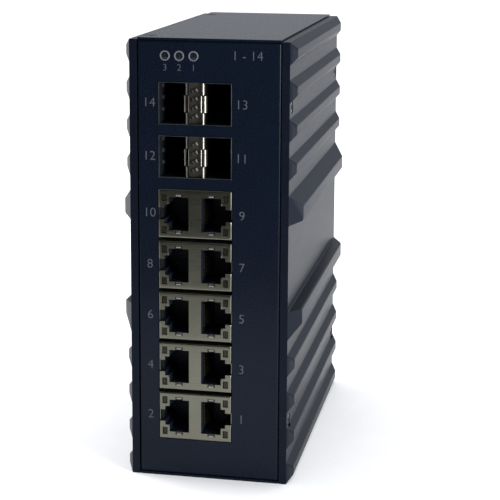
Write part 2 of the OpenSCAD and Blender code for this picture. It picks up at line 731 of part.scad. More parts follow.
module din_screws() color(STEEL) at_back() for (p = CLIP_SCREWS) difference() {
    union() {
        rod_y(-4, clip_base_t + 1.1, p[0], rail_z + p[1], clip_screw_d);
        rod_y(clip_base_t + 1.02, clip_base_t + 2.8, p[0], rail_z + p[1], 5);
    }
    rod_y(clip_base_t + 1.6, clip_base_t + 3, p[0], rail_z + p[1], 2.4, 6);
}

GROUND = [-14, 16];
GROUND_D = 4;
module ground_screw() color(STEEL) at_back() difference() {
    union() {
        rod_y(-6, 0.1, GROUND[0], GROUND[1], GROUND_D);
        rod_y(FIT, 0.85, GROUND[0], GROUND[1], 9);
        rod_y(0.8, 3.2, GROUND[0], GROUND[1], 7.2);
    }
    for (a = [0, 90]) translate([GROUND[0], 3.2, GROUND[1]]) rotate([0, a, 0])
        translate([-2.2, -1.3, -0.5]) cube([4.4, 2, 1]);
}

front_panel();
top_cover();
bottom_cover();
back_plate();
left_side_plate();
right_side_plate();
side_screws();
cover_screws();
led_bezels();
status_leds();
led_holder();
sfp_cage(0);  // sfp_cage_lower
sfp_cage(1);  // sfp_cage_upper
sfp_fingers(0);  // sfp_fingers_lower
sfp_fingers(1);  // sfp_fingers_upper
sfp_connectors(0);  // sfp_connectors_lower
sfp_connectors(1);  // sfp_connectors_upper
jack_shield(1);  // jack_shield_1
jack_shield(2);  // jack_shield_2
jack_shield(3);  // jack_shield_3
jack_shield(4);  // jack_shield_4
jack_shield(5);  // jack_shield_5
jack_body(1);  // jack_body_1
jack_body(2);  // jack_body_2
jack_body(3);  // jack_body_3
jack_body(4);  // jack_body_4
jack_body(5);  // jack_body_5
jack_contacts(1);  // jack_contacts_1
jack_contacts(2);  // jack_contacts_2
jack_contacts(3);  // jack_contacts_3
jack_contacts(4);  // jack_contacts_4
jack_contacts(5);  // jack_contacts_5
port_light_pipes();
main_board();
switch_chip();
phy_chips();
chip_pads();
board_standoffs();
board_screws();
power_board();
power_transformer();
power_inductor();
bulk_capacitors();
power_transistors();
power_pads();
alarm_relay();
board_link();
terminal_header();
terminal_pins();
reset_button();
reset_switch();
dip_switch_body();
dip_slider(0);  // dip_slider_1
dip_slider(1);  // dip_slider_2
din_bracket();
din_latch();
din_spring();
din_screws();
ground_screw();
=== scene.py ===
"""Upright industrial network switch: the visual model over its CAD frame.

Lengths are in metres. Numbers written in millimetres are multiplied by MM.
X runs to the right of the front face, Y from front to back, Z is up.
"""
import json
import math

import bmesh
import bpy
from mathutils import Matrix, Vector


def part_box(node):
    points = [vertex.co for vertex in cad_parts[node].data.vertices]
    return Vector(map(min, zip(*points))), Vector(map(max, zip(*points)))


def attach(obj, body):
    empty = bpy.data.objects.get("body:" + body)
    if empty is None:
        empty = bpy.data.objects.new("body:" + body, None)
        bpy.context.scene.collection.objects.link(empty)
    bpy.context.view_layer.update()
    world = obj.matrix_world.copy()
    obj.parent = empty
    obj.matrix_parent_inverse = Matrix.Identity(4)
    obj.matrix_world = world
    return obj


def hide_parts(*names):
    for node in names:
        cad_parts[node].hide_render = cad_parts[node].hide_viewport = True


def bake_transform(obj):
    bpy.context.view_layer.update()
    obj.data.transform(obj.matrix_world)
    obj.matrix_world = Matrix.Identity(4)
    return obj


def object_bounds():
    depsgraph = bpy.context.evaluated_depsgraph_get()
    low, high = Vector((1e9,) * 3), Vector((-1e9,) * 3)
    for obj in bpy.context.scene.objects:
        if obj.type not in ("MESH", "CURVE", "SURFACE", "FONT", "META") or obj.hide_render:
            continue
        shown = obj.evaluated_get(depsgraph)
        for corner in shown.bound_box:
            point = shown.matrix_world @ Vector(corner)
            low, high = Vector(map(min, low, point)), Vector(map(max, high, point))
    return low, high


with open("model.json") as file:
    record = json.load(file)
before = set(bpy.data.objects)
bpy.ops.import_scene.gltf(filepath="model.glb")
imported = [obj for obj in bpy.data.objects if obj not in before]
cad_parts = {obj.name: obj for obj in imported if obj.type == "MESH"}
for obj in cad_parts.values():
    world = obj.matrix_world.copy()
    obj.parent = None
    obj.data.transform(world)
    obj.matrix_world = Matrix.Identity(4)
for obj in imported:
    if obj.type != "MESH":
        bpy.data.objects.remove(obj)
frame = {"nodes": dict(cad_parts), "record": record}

MM = 0.001
cad_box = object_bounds()
nodes = frame["nodes"]
scene = bpy.context.scene
scene.view_settings.view_transform = "Standard"

# Places that the CAD settles --------------------------------------------------

panel_low, panel_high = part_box("front_panel")
plate_low, plate_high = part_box("right_side_plate")
FRONT = plate_low.y
BACK = plate_high.y
CASE_H = plate_high.z
JACKS = 5
LOWER, UPPER = "sfp_cage_lower", "sfp_cage_upper"


def middle(node):
    """The middle of a CAD node's box."""
    low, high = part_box(node)
    return (low + high) / 2


def placed(x, y, z):
    """A point given in millimetres, with y counted back from the front face."""
    return Vector((x, y, z)) * MM + Vector((0, FRONT, 0))


# Camera -----------------------------------------------------------------------

CAMERA_AT = Vector((0.10705, -0.54034, 0.20105))
YAW, PITCH, ROLL = (math.radians(a) for a in (10.897, 10.173, 0.31))
LENS_MM, FILM_MM, LENS_SHIFT = 106.2, 36, -0.17
forward = Vector((-math.sin(YAW) * math.cos(PITCH), math.cos(YAW) * math.cos(PITCH), -math.sin(PITCH)))
level = Vector((math.cos(YAW), math.sin(YAW), 0))
upright = level.cross(forward)
right = level * math.cos(ROLL) + upright * math.sin(ROLL)
up = upright * math.cos(ROLL) - level * math.sin(ROLL)

camera = bpy.data.objects.new("camera", bpy.data.cameras.new("camera"))
scene.collection.objects.link(camera)
camera.data.lens = LENS_MM
camera.data.sensor_width = FILM_MM
camera.data.shift_y = LENS_SHIFT
camera.data.clip_start = 0.01
camera.matrix_world = Matrix.Translation(CAMERA_AT) @ Matrix((right, up, -forward)).transposed().to_4x4()
scene.camera = camera


# Materials --------------------------------------------------------------------

def linear(hex_colour):
    """An sRGB hex colour as linear RGBA."""
    parts = [int(hex_colour[i:i + 2], 16) / 255 for i in (1, 3, 5)]
    return [c / 12.92 if c <= 0.04045 else ((c + 0.055) / 1.055) ** 2.4 for c in parts] + [1.0]


def add(tree, kind, values=None, links=None, **settings):
    """A node of that kind, with its settings, its input values and the sockets linked to its inputs."""
    made = tree.nodes.new("ShaderNode" + kind)
    for key, value in settings.items():
        setattr(made, key, value)
    for key, value in (values or {}).items():
        made.inputs[key].default_value = value
    for key, socket in (links or {}).items():
        tree.links.new(socket, made.inputs[key])
    return made


# The part of a noise's range that its colours and roughness are spread over, and how rough the noise is.
NOISE_LOW, NOISE_HIGH, NOISE_ROUGH = 0.3, 0.7, 0.55
GRAIN_DETAIL, TONE_DETAIL, TONE_MM = 3.0, 2.0, [18, 18, 18]


def surface(name, dark, light, rough, grain_mm, relief_mm=0.0, metal=0.0, rough_swing=0.06,
            tone_mm=TONE_MM, **shader):
    """A material whose colour wanders between two hex colours, with a grain in its roughness and relief.

    grain_mm is the size of the grain along X, Y and Z, and tone_mm that of the slow change of colour.
    shader holds constants for the shader's own sockets, with _ for a space."""
    made = bpy.data.materials.new(name)
    made.use_nodes = True
    tree = made.node_tree
    tree.nodes.clear()
    place = add(tree, "TexCoord").outputs["Object"]

    patterns = []
    for size_mm, detail in ((grain_mm, GRAIN_DETAIL), (tone_mm, TONE_DETAIL)):
        spread = add(tree, "Mapping", {"Scale": [1 / (s * MM) for s in size_mm]}, {"Vector": place})
        noise = add(tree, "TexNoise", {"Scale": 1.0, "Detail": detail, "Roughness": NOISE_ROUGH},
                    {"Vector": spread.outputs["Vector"]})
        patterns.append(noise.outputs["Fac"])
    grain, tone = patterns
    both = add(tree, "Math", {1: 0.5}, {0: grain}, operation="MULTIPLY")
    both = add(tree, "Math", {1: 0.5}, {0: tone, 2: both.outputs[0]}, operation="MULTIPLY_ADD")
    colours = add(tree, "ValToRGB", links={"Fac": both.outputs[0]})
    for stop, position, colour in zip(colours.color_ramp.elements, (NOISE_LOW, NOISE_HIGH), (dark, light)):
        stop.position = position
        stop.color = linear(colour)
    rougher = add(tree, "MapRange", {"From Min": NOISE_LOW, "From Max": NOISE_HIGH,
                                     "To Min": rough - rough_swing, "To Max": rough + rough_swing},
                  {"Value": grain})
    constants = {key.replace("_", " "): value for key, value in shader.items()}
    principled = add(tree, "BsdfPrincipled", {"Metallic": metal, **constants},
                     {"Base Color": colours.outputs["Color"], "Roughness": rougher.outputs["Result"]})
    if relief_mm:
        bump = add(tree, "Bump", {"Strength": 1.0, "Distance": relief_mm * MM}, {"Height": grain})
        tree.links.new(bump.outputs["Normal"], principled.inputs["Normal"])
    add(tree, "OutputMaterial", links={"Surface": principled.outputs["BSDF"]})
    return made


# Powder-coated steel: a dark navy skin with a faint orange peel, dull face on and pale at a grazing angle.
# The peel is drawn a little coarser than the real 0.3 mm, so that it still shows.
navy_paint = surface("powder_coated_steel", "#080e19", "#0b121e", 0.27, [0.5, 0.5, 0.5], 0.0012,
                     Specular_IOR_Level=0.11)
# Anodised extruded aluminium: the same navy, with fine die lines that run from front to back.
navy_anodised = surface("anodised_extruded_aluminium", "#090e17", "#0d131e", 0.37, [0.3, 14, 0.3], 0.0006,
                        rough_swing=0.02, tone_mm=[6, 60, 6], Specular_IOR_Level=0.07)
# Nickel-plated brass shield: warm grey metal, faint rolled lines along it, soft blurred reflections.
nickel = surface("nickel_plated_brass", "#63645a", "#727065", 0.3, [8, 0.3, 0.3], 0.0006,
                 rough_swing=0.03, metal=1.0)
# Inner faces of a cage, painted near black as painted shade: matt and very dark, so a slot reads as a deep
# hole.
painted_shade_cage_lining = surface("cage_lining_painted_dark_as_shade", "#0b0f14", "#10151a", 0.7, [0.4, 4, 3], 0.002,
                     Specular_IOR_Level=0.1)
# The rim of a cage, darker than bare tin plate: a thin grey line round the slots.
cage_rim = surface("dark_grey_tin_plate", "#4c5258", "#5e646a", 0.4, [3, 0.3, 3], 0.001, metal=1.0)
# The strip between two slots: darker than bare tin, and a little brown.
bar_metal = surface("dark_brownish_tin_plate", "#3f3d37", "#504c44", 0.5, [0.3, 3, 3], 0.002, metal=0.8)
# Grounding fingers, formed, darker than bare spring steel: mid grey with soft glints.
finger_metal = surface("formed_spring_steel", "#474643", "#5a5855", 0.42, [0.3, 3, 3], 0.001, metal=1.0)
# Formed contact leaf, polished by the forming: a thin glint on each crest.
leaf_metal = surface("polished_spring_leaf", "#7d7b74", "#918e86", 0.34, [3, 3, 1.5], 0.0, metal=1.0)
# Glass-filled nylon of the jack insides: near black with a blue cast and a dry moulded grain.
black_nylon = surface("moulded_black_nylon", "#0e151e", "#141c26", 0.5, [0.3, 0.3, 0.3], 0.006,
                      Specular_IOR_Level=0.2)
# Smoked lens of the port lamps: unlit, dark olive, a little glossy.
smoked_lens = surface("smoked_lamp_lens", "#10120a", "#212315", 0.2, [1.2, 1.2, 1.2], 0.001,
                      Specular_IOR_Level=0.2)
# Smoked lens of the status lamps, darker than the port lamps.
dark_lens = surface("smoked_status_lens", "#0c1016", "#151b23", 0.22, [0.8, 0.8, 0.8], 0.004)
# Satin grey moulded ring, and the same grey as screen-printing ink.
ring_grey = surface("satin_grey_moulding", "#484d53", "#555b61", 0.45, [0.3, 0.3, 0.3], 0.003)
ink_grey = surface("screen_printed_ink", "#383d43", "#43494f", 0.6, [0.12, 0.12, 0.12], 0.002)
# Black oxide on steel: dark, oily, with a tight sheen.
black_oxide = surface("black_oxide_steel", "#0c0d0f", "#17181b", 0.34, [0.4, 0.4, 0.4], 0.003, metal=0.35)
# Gold flash over nickel on the contact wires, painted far darker than gold as painted shade for contacts
# deep in the jacks.
gold = surface("gold_flash_painted_dark_as_shade", "#3a3429", "#4c4433", 0.45, [0.2, 1.5, 0.2], 0.001, metal=1.0)
# Zinc-plated steel: bluish grey with large faint spangles.
zinc = surface("zinc_plated_steel", "#9aa0a6", "#b9bec2", 0.32, [3, 3, 3], 0.002, metal=1.0)
# Glass-filled nylon latch, dry and slightly blotchy.
latch_nylon = surface("glass_filled_nylon", "#17181a", "#222427", 0.55, [0.35, 0.35, 0.35], 0.012)
# Music wire of the latch spring, drawn bright.
music_wire = surface("drawn_music_wire", "#8b8c8e", "#aeb0b2", 0.25, [0.1, 0.1, 0.6], 0.001, metal=1.0)
# Green terminal nylon.
green_nylon = surface("green_terminal_nylon", "#155236", "#1c6442", 0.48, [0.4, 0.4, 0.4], 0.008)
# Tinned square pins.
tinned = surface("tinned_copper_pin", "#b4b5b2", "#d0d1ce", 0.3, [0.3, 0.3, 2], 0.001, metal=1.0)
# Solder mask over glass cloth: the weave is drawn as a fine grain.
solder_mask = surface("green_solder_mask", "#0a2c1b", "#0f3d25", 0.3, [0.4, 0.4, 0.4], 0.006)
# Moulded epoxy chip cases, matt.
epoxy = surface("moulded_epoxy", "#16171a", "#232427", 0.62, [0.2, 0.2, 0.2], 0.006)
# Silicone gap pad, soft blue grey.
silicone = surface("silicone_gap_pad", "#5f7486", "#718799", 0.75, [0.6, 0.6, 0.6], 0.01)
# Sintered ferrite core, dull with fine pits.
ferrite = surface("sintered_ferrite", "#2a2a2a", "#3a3938", 0.6, [0.3, 0.3, 0.3], 0.015)
# Printed plastic sleeve of a capacitor.
sleeve = surface("shrunk_plastic_sleeve", "#15171f", "#20232d", 0.35, [1, 1, 1], 0.004)
# Pale moulded relay case.
pale_plastic = surface("pale_moulded_plastic", "#cfcfca", "#deded9", 0.45, [0.4, 0.4, 0.4], 0.006)
# Red push cap and option switch body.
red_plastic = surface("red_moulded_plastic", "#8f1713", "#ab231d", 0.4, [0.3, 0.3, 0.3], 0.006)

FINISHES = {
    "navy_sheet": navy_paint, "navy_extrusion": navy_anodised, "black_screw": black_oxide,
    "lamp_ring": ring_grey, "clear_plastic": smoked_lens, "black_plastic": black_nylon,
    "nickel_sheet": nickel, "gold_contact": gold, "circuit_board": solder_mask,
    "chip_epoxy": epoxy, "gap_pad": silicone, "zinc_steel": zinc, "ferrite": ferrite,
    "capacitor_sleeve": sleeve, "relay_shell": pale_plastic, "terminal_green": green_nylon,
    "tinned_pin": tinned, "red_button": red_plastic, "white_slider": pale_plastic,
    "latch_black": latch_nylon, "spring_steel": music_wire,
}
for part in frame["record"]["subparts"]:
    mesh = nodes[part["node"]].data
    mesh.materials.clear()
    mesh.materials.append(FINISHES[part["material_slot"]])


# Building ---------------------------------------------------------------------

def block(bm, low, high):
    """A box between two corners, in millimetres behind the front face."""
    made = bmesh.ops.create_cube(bm, size=1.0)["verts"]
    for v in made:
        v.co = placed(*[high[i] if v.co[i] > 0 else low[i] for i in range(3)])


def lathe(bm, profile, x, z, steps=40):
    """Turns (radius, y) points about a front-to-back axis at x, z. Lengths are millimetres."""
    rings = []
    for radius, y in profile:
        count = 1 if radius == 0 else steps
        rings.append([bm.verts.new(placed(x + radius * math.cos(2 * math.pi * k / steps), y,
                                          z + radius * math.sin(2 * math.pi * k / steps)))
                      for k in range(count)])
    for a, b in zip(rings, rings[1:]):
        for k in range(steps):
            corners = [a[k % len(a)], a[(k + 1) % len(a)], b[(k + 1) % len(b)], b[k % len(b)]]
            distinct = list(dict.fromkeys(corners))
            if len(distinct) > 2:
                bm.faces.new(distinct)


def cells(bm, xs, ys, zs, solid, bulge=None):
    """A plate of grid cells between ys[0] and ys[1], with every cell whose middle isn't solid left out.

    bulge(x, z) moves a front corner back, in millimetres."""
    corner = {}

    def at(i, j, k):
        if (i, j, k) not in corner:
            y = ys[k] + (bulge(xs[i], zs[j]) if bulge and k == 0 else 0)
            corner[i, j, k] = bm.verts.new(placed(xs[i], y, zs[j]))
        return corner[i, j, k]

    inside = {(i, j) for i in range(len(xs) - 1) for j in range(len(zs) - 1)
              if solid((xs[i] + xs[i + 1]) / 2, (zs[j] + zs[j + 1]) / 2)}
    for i, j in inside:
        for k in (0, 1):
            bm.faces.new([at(i, j, k), at(i + 1, j, k), at(i + 1, j + 1, k), at(i, j + 1, k)])
        for di, dj, a, b in ((-1, 0, (0, 0), (0, 1)), (1, 0, (1, 0), (1, 1)),
                             (0, -1, (0, 0), (1, 0)), (0, 1, (0, 1), (1, 1))):
            if (i + di, j + dj) not in inside:
                bm.faces.new([at(i + a[0], j + a[1], 0), at(i + b[0], j + b[1], 0),
                              at(i + b[0], j + b[1], 1), at(i + a[0], j + a[1], 1)])


def strip(bm, path, width, origin, across, deep=(0, 1, 0), out=(1, 0, 0)):
    """A ribbon of a width along across, that follows the (out, deep) points of a path from an origin."""
    half = Vector(across) * width / 2
    rows = []
    for o, d in path:
        p = Vector(origin) + Vector(out) * o + Vector(deep) * d
        rows.append([bm.verts.new(placed(*(p + side * half))) for side in (-1, 1)])
    for a, b in zip(rows, rows[1:]):
        bm.faces.new([a[0], a[1], b[1], b[0]])


# Degrees between two faces from which their edge counts as sharp: on solids, on folded sheets and
# domes, and on formed leaves.
SHARP, SHEET_SHARP, LEAF_SHARP = 32, 50, 80


def piece(name, bm, material, stands_for=(), body="case", edge_mm=0.0, steps=2,
          sheet_mm=0.0, crease=SHARP):
    """Finishes a mesh as a piece of the object, with rounded edges and smooth shading.

    A mesh without edge_mm keeps its edges of crease degrees or more, and sheet_mm thickens an open one."""
    bmesh.ops.recalc_face_normals(bm, faces=bm.faces)
    for f in bm.faces:
        f.smooth = True
    for e in bm.edges:
        e.smooth = bool(edge_mm) or len(e.link_faces) != 2 or e.calc_face_angle(0) < math.radians(crease)
    mesh = bpy.data.meshes.new(name)
    bm.to_mesh(mesh)
    bm.free()
    mesh.materials.append(material)
    made = bpy.data.objects.new(name, mesh)
    scene.collection.objects.link(made)
    if sheet_mm:
        thick = made.modifiers.new("sheet", "SOLIDIFY")
        thick.thickness = sheet_mm * MM
        thick.offset = 0
        made.modifiers.new("rim", "EDGE_SPLIT").split_angle = math.radians(SHEET_SHARP)
    if edge_mm:
        soften(made, edge_mm, steps)
    if body:
        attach(made, body)
    if stands_for:
        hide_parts(*stands_for)
    return made


def soften(made, edge_mm, steps=2):
    """Rounds the sharp edges of an object and keeps its flat faces flat."""
    edge = made.modifiers.new("edge", "BEVEL")
    edge.width = edge_mm * MM
    edge.segments = steps
    edge.limit_method = "ANGLE"
    edge.angle_limit = math.radians(SHARP)
    made.modifiers.new("flat", "WEIGHTED_NORMAL").keep_sharp = True


def carve(bm, cutters):
    """Cuts closed meshes out of a closed mesh and returns the result."""
    objects = []
    for source in [bm] + cutters:
        bmesh.ops.recalc_face_normals(source, faces=source.faces)
        mesh = bpy.data.meshes.new("carving")
        source.to_mesh(mesh)
        source.free()
        objects.append(bpy.data.objects.new("carving", mesh))
        scene.collection.objects.link(objects[-1])
    for cutter in objects[1:]:
        cut = objects[0].modifiers.new("cut", "BOOLEAN")
        cut.operation = "DIFFERENCE"
        cut.solver = "EXACT"
        cut.object = cutter
    bpy.context.view_layer.update()
    shaped = objects[0].evaluated_get(bpy.context.evaluated_depsgraph_get())
    result = bmesh.new()
    result.from_mesh(shaped.to_mesh())
    for made in objects:
        bpy.data.objects.remove(made)
    return result


def rounded(points, steps=6):
    """Rounds the corners of a closed outline of (x, z, radius) points."""
    result = []
    for i, (x, z, radius) in enumerate(points):
        here = Vector((x, z))
        if not radius:
            result.append(here)
            continue
        before = Vector(points[i - 1][:2]) - here
        after = Vector(points[(i + 1) % len(points)][:2]) - here
        before.normalize()
        after.normalize()
        half = before.angle(after) / 2
        centre = here + (before + after).normalized() * radius / math.sin(half)
        start = here + before * radius / math.tan(half) - centre
        end = here + after * radius / math.tan(half) - centre
        turn = start.angle_signed(end)
        for k in range(steps + 1):
            a = -turn * k / steps
            result.append(centre + Vector((start.x * math.cos(a) - start.y * math.sin(a),
                                           start.x * math.sin(a) + start.y * math.cos(a))))
    return result


# Ribbed side plates -----------------------------------------------------------

DEPTH = (BACK - FRONT) / MM
HEIGHT = CASE_H / MM
MID = HEIGHT / 2
PLATE_IN = 25.05
PLATE_OUT = 27.7
BEVEL_RUN = 1.85
# Each rib: middle above mid-height, half its flat top, run of its slope away from
# mid-height and towards it, and the height it stands out.
RIBS = [(73.45, 1.55, 2.3, 2.3, 2.05), (60.7, 1.55, 2.3, 2.3, 2.05), (47.55, 1.55, 2.3, 2.3, 2.05),
        (34.4, 1.55, 2.3, 2.3, 2.05), (18.2, 2.58, 4.5, 0.6, 3.95)]
RIB_TOP_R = 0.8
RIB_ROOT_R = 0.5
SCREW_Y = (4.6, DEPTH - 4.6)
SCREW_Z = (MID - 55.2, MID + 55.2)
BORE_R, BORE_DEEP, BORE_CUT = 2.4, 1.7, 6
# A point this little past the plate still lies on it.
NEARLY = 1e-4


def rib_corners(rib, side):
    """The four corners of a rib, from its upper root to its lower root. side is 1 above mid-height."""
    at, half, away, near, out = rib
    upper, lower = (away, near) if side > 0 else (near, away)
    z = MID + side * at
    ends = [z + half + upper, z - half - lower]
    roots = [min(RIB_ROOT_R, 2 * (HEIGHT - ends[0])), min(RIB_ROOT_R, 2 * ends[1])]
    return [(PLATE_OUT, ends[0], roots[0]), (PLATE_OUT + out, z + half, RIB_TOP_R),
            (PLATE_OUT + out, z - half, RIB_TOP_R), (PLATE_OUT, ends[1], roots[1])]


def plate_outline():
    """The outline of a plate seen from the front, from the top down its ribbed side."""
    points = [(PLATE_IN, 0, 0), (PLATE_IN, HEIGHT, 0), (PLATE_OUT, HEIGHT, 0)]
    for rib in RIBS:
        points += rib_corners(rib, 1)
    for rib in reversed(RIBS):
        points += rib_corners(rib, -1)
    return rounded(points + [(PLATE_OUT, 0, 0)])


def side_plate(name, side):
    """One ribbed plate whose rib ends slope back from its front and rear edges, with four screw bores.

    side is 1 on the right and -1 on the left, which is the mirror image."""
    outline = plate_outline()
    bm = bmesh.new()
    level_points = []
    rows = []
    for p in outline:
        run = BEVEL_RUN * max(0.0, p.x - PLATE_OUT)
        rows.append([bm.verts.new(placed(p.x, y, p.y)) for y in (run, DEPTH - run)])
        level_points.append(p.x <= PLATE_OUT + NEARLY)
    count = len(rows)
    for i in range(count):
        a, b = rows[i], rows[(i + 1) % count]
        bm.faces.new([a[0], b[0], b[1], a[1]])
    for end in (0, 1):
        # The flat end of the plate, then the sloping end of each rib.
        bm.faces.new([rows[i][end] for i in range(count) if level_points[i]])
        i = 0
        while i < count:
            if level_points[i] and not level_points[(i + 1) % count]:
                j = i + 1
                while not level_points[j % count]:
                    j += 1
                bm.faces.new([rows[k % count][end] for k in range(i, j + 1)])
                i = j
            else:
                i += 1
    cutters = []
    for y in SCREW_Y:
        for z in SCREW_Z:
            cutter = bmesh.new()
            bmesh.ops.create_cone(cutter, cap_ends=True, segments=40, radius1=BORE_R * MM,
                                  radius2=BORE_R * MM, depth=BORE_CUT * MM,
                                  matrix=Matrix.Rotation(math.pi / 2, 4, "Y"))
            bmesh.ops.translate(cutter, verts=cutter.verts,
                                vec=placed(PLATE_OUT - BORE_DEEP + BORE_CUT / 2, y, z))
            cutters.append(cutter)
    plate = carve(bm, cutters)
    bmesh.ops.scale(plate, vec=(side, 1, 1), verts=plate.verts)
    return piece(name + "_extrusion", plate, navy_anodised, [name],
                 edge_mm=0.18)


side_plate("right_side_plate", 1)
side_plate("left_side_plate", -1)


# Case sheets ------------------------------------------------------------------

PANEL = panel_high.x / MM
PANEL_Z = (panel_low.z / MM, panel_high.z / MM)
BEND = 1.05
SHEET = 1.0
BEND_STEPS = 7
FLANGE = 10
WINDOW_GAP = 0.15
# How far a cutter runs past what it cuts.
OVERCUT = 1


def panel_windows():
    """The windows of the front panel as (x0, x1, z0, z1), a little clear of what fills them."""
    low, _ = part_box("jack_shield_1")
    _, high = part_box(f"jack_shield_{JACKS}")
    spans = [(low, high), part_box(LOWER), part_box(UPPER)]
    return [(a.x / MM - WINDOW_GAP, b.x / MM + WINDOW_GAP, a.z / MM - WINDOW_GAP, b.z / MM + WINDOW_GAP)
            for a, b in spans]


def folded_panel():
    """The front sheet: a flat face, edges bent back all round, flanges and windows."""
    bm = bmesh.new()
    made = bmesh.ops.create_cube(bm, size=1.0)["verts"]
    for v in made:
        v.co = placed(PANEL if v.co.x > 0 else -PANEL, FLANGE if v.co.y > 0 else 0,
                      PANEL_Z[1] if v.co.z > 0 else PANEL_Z[0])
    front = min(bm.faces, key=lambda f: f.calc_center_median().y)
    bmesh.ops.bevel(bm, geom=list(front.edges), offset=BEND * MM, segments=BEND_STEPS, profile=0.5,
                    affect="EDGES")
    cutters = []
    inner = bmesh.new()
    block(inner, (-PANEL + SHEET, SHEET, PANEL_Z[0] + SHEET),
          (PANEL - SHEET, FLANGE + OVERCUT, PANEL_Z[1] - SHEET))
    cutters.append(inner)
    for x0, x1, z0, z1 in panel_windows():
        window = bmesh.new()
        block(window, (x0, -OVERCUT, z0), (x1, SHEET + OVERCUT, z1))
        cutters.append(window)
    return piece("front_panel_folded", carve(bm, cutters), navy_paint, ["front_panel"],
                 edge_mm=0.1)


folded_panel()
for name, edge in (("top_cover", 0.16), ("bottom_cover", 0.16), ("back_plate", 0.12)):
    soften(nodes[name], edge)

COVER_SCREW_X, COVER_SCREW_Y = -21.8, (7.3, 103.5)
# From the bottom of the recess over the rim to the shank: (radius, height above the sheet). The
# head sits a little low in its countersink.
HEAD = [(0.0, -1.0), (0.75, -1.0), (0.95, -0.28), (2.1, -0.22), (2.25, -0.3), (1.2, -0.72),
        (1.2, -5.0), (0.0, -5.0)]
RECESS = (1, 2)
LOBES, LOBE_DEEP, HEAD_STEPS = 6, 0.12, 48


def cover_screw(bm, y, z, way):
    """A countersunk head with a lobed recess at z, face upwards if way is 1 and downwards if -1."""
    rows = []
    for k in range(HEAD_STEPS):
        a = 2 * math.pi * k / HEAD_STEPS
        lobe = 1 + LOBE_DEEP * math.cos(LOBES * a)
        row = []
        for n, (r, h) in enumerate(HEAD):
            reach = r * (lobe if n in RECESS else 1)
            row.append(bm.verts.new(placed(COVER_SCREW_X + reach * math.cos(a), y + reach * math.sin(a),
                                           z + way * h)))
        rows.append(row)
    for a, b in zip(rows, rows[1:] + rows[:1]):
        for n in range(len(HEAD) - 1):
            bm.faces.new([a[n], a[n + 1], b[n + 1], b[n]])


heads = bmesh.new()
for z, way in ((cad_box[1].z / MM, 1), (0, -1)):
    for y in COVER_SCREW_Y:
        cover_screw(heads, y, z, way)
bmesh.ops.remove_doubles(heads, verts=heads.verts, dist=1e-7)
piece("cover_screw_heads", heads, black_oxide, ["cover_screws"])

# Status lamps -----------------------------------------------------------------

lamp_low, lamp_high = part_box("led_bezels")
LAMP_R = (lamp_high.z - lamp_low.z) / 2 / MM
LAMP_Z = (lamp_high.z + lamp_low.z) / 2 / MM
LAMPS = 3
LAMP_X = [lamp_low.x / MM + LAMP_R + k * (lamp_high.x - lamp_low.x - 2 * LAMP_R * MM) / (LAMPS - 1) / MM
          for k in range(LAMPS)]
# Profiles of a ring, as (radius past the lamp's, depth), and of its domed lens, as (radius, depth).
RING = [(-0.5, 0.3), (-0.5, -0.26), (-0.4, -0.39), (-0.25, -0.44), (-0.1, -0.39), (0, -0.26), (0, 0)]
DOME = [(0, -0.16), (0.35, -0.15), (0.7, -0.11), (1.0, -0.03), (1.18, 0.1), (1.2, 0.4), (1.2, 4.2),
        (0, 4.2)]

rings, lenses = bmesh.new(), bmesh.new()
for x in LAMP_X:
    lathe(rings, [(LAMP_R + d, y) for d, y in RING], x, LAMP_Z)
    lathe(lenses, DOME, x, LAMP_Z)
piece("status_lamp_rings", rings, ring_grey, ["led_bezels"])
piece("status_lamp_lenses", lenses, dark_lens, ["status_leds"],
      crease=SHEET_SHARP)


# Copper jacks -----------------------------------------------------------------

shield_low, shield_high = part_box("jack_shield_1")
SHIELD_Y = shield_low.y / MM - FRONT / MM
SHIELD_W = (shield_high.x - shield_low.x) / MM / 2
SHIELD_H = (shield_high.z - shield_low.z) / MM / 2
SHIELD_BACK = (shield_high.y - FRONT) / MM
SHIELD_R, SHIELD_FACE, SHIELD_WALL = 0.55, 0.9, 0.25
# Distances sideways and up from the middle of a block: the bar between its mouths, a mouth and
# its two key steps, a lamp window, and the leaf slots over and under a mouth.
BAR, MOUTH, MOUTH_UP = 2.18, 9.2, 5.85
KEY1, KEY1_UP, KEY2_UP = 10.76, 3.45, 2.1
LAMP_U, LAMP_UP = (9.95, 11.75), (4.35, 6.95)
LEAF_U, LEAF_HALF, LEAF_SLOT, LEAF_UP = 5.75, 0.88, 1.3, 6.95


def shield_solid(u, z):
    """Whether the shield's face is metal at a distance u sideways and z up from the middle of the block."""
    u, z = abs(u), abs(z)
    mouth = BAR < u < MOUTH and z < MOUTH_UP
    key = (BAR < u < KEY1 and z < KEY1_UP) or (BAR < u and z < KEY2_UP)
    lamp = LAMP_U[0] < u < LAMP_U[1] and LAMP_UP[0] < z < LAMP_UP[1]
    leaf = abs(u - LEAF_U) < LEAF_SLOT and MOUTH_UP < z < LEAF_UP
    return not (mouth or key or lamp or leaf)


def both_ways(values):
    """Distances from a middle line, on both sides of it and in order."""
    return sorted([-v for v in values] + list(values))


EDGE_STEPS = [SHIELD_R * (1 - math.cos(math.radians(a))) for a in (0, 22, 45, 67, 90)]


def shield_bulge(x, z):
    """How far the rounded rim of the shield's face falls back at a point."""
    inset = min(SHIELD_W - abs(x), SHIELD_H - abs(z))
    short = max(0.0, SHIELD_R - inset)
    return SHIELD_R - math.sqrt(max(0.0, SHIELD_R ** 2 - short ** 2))


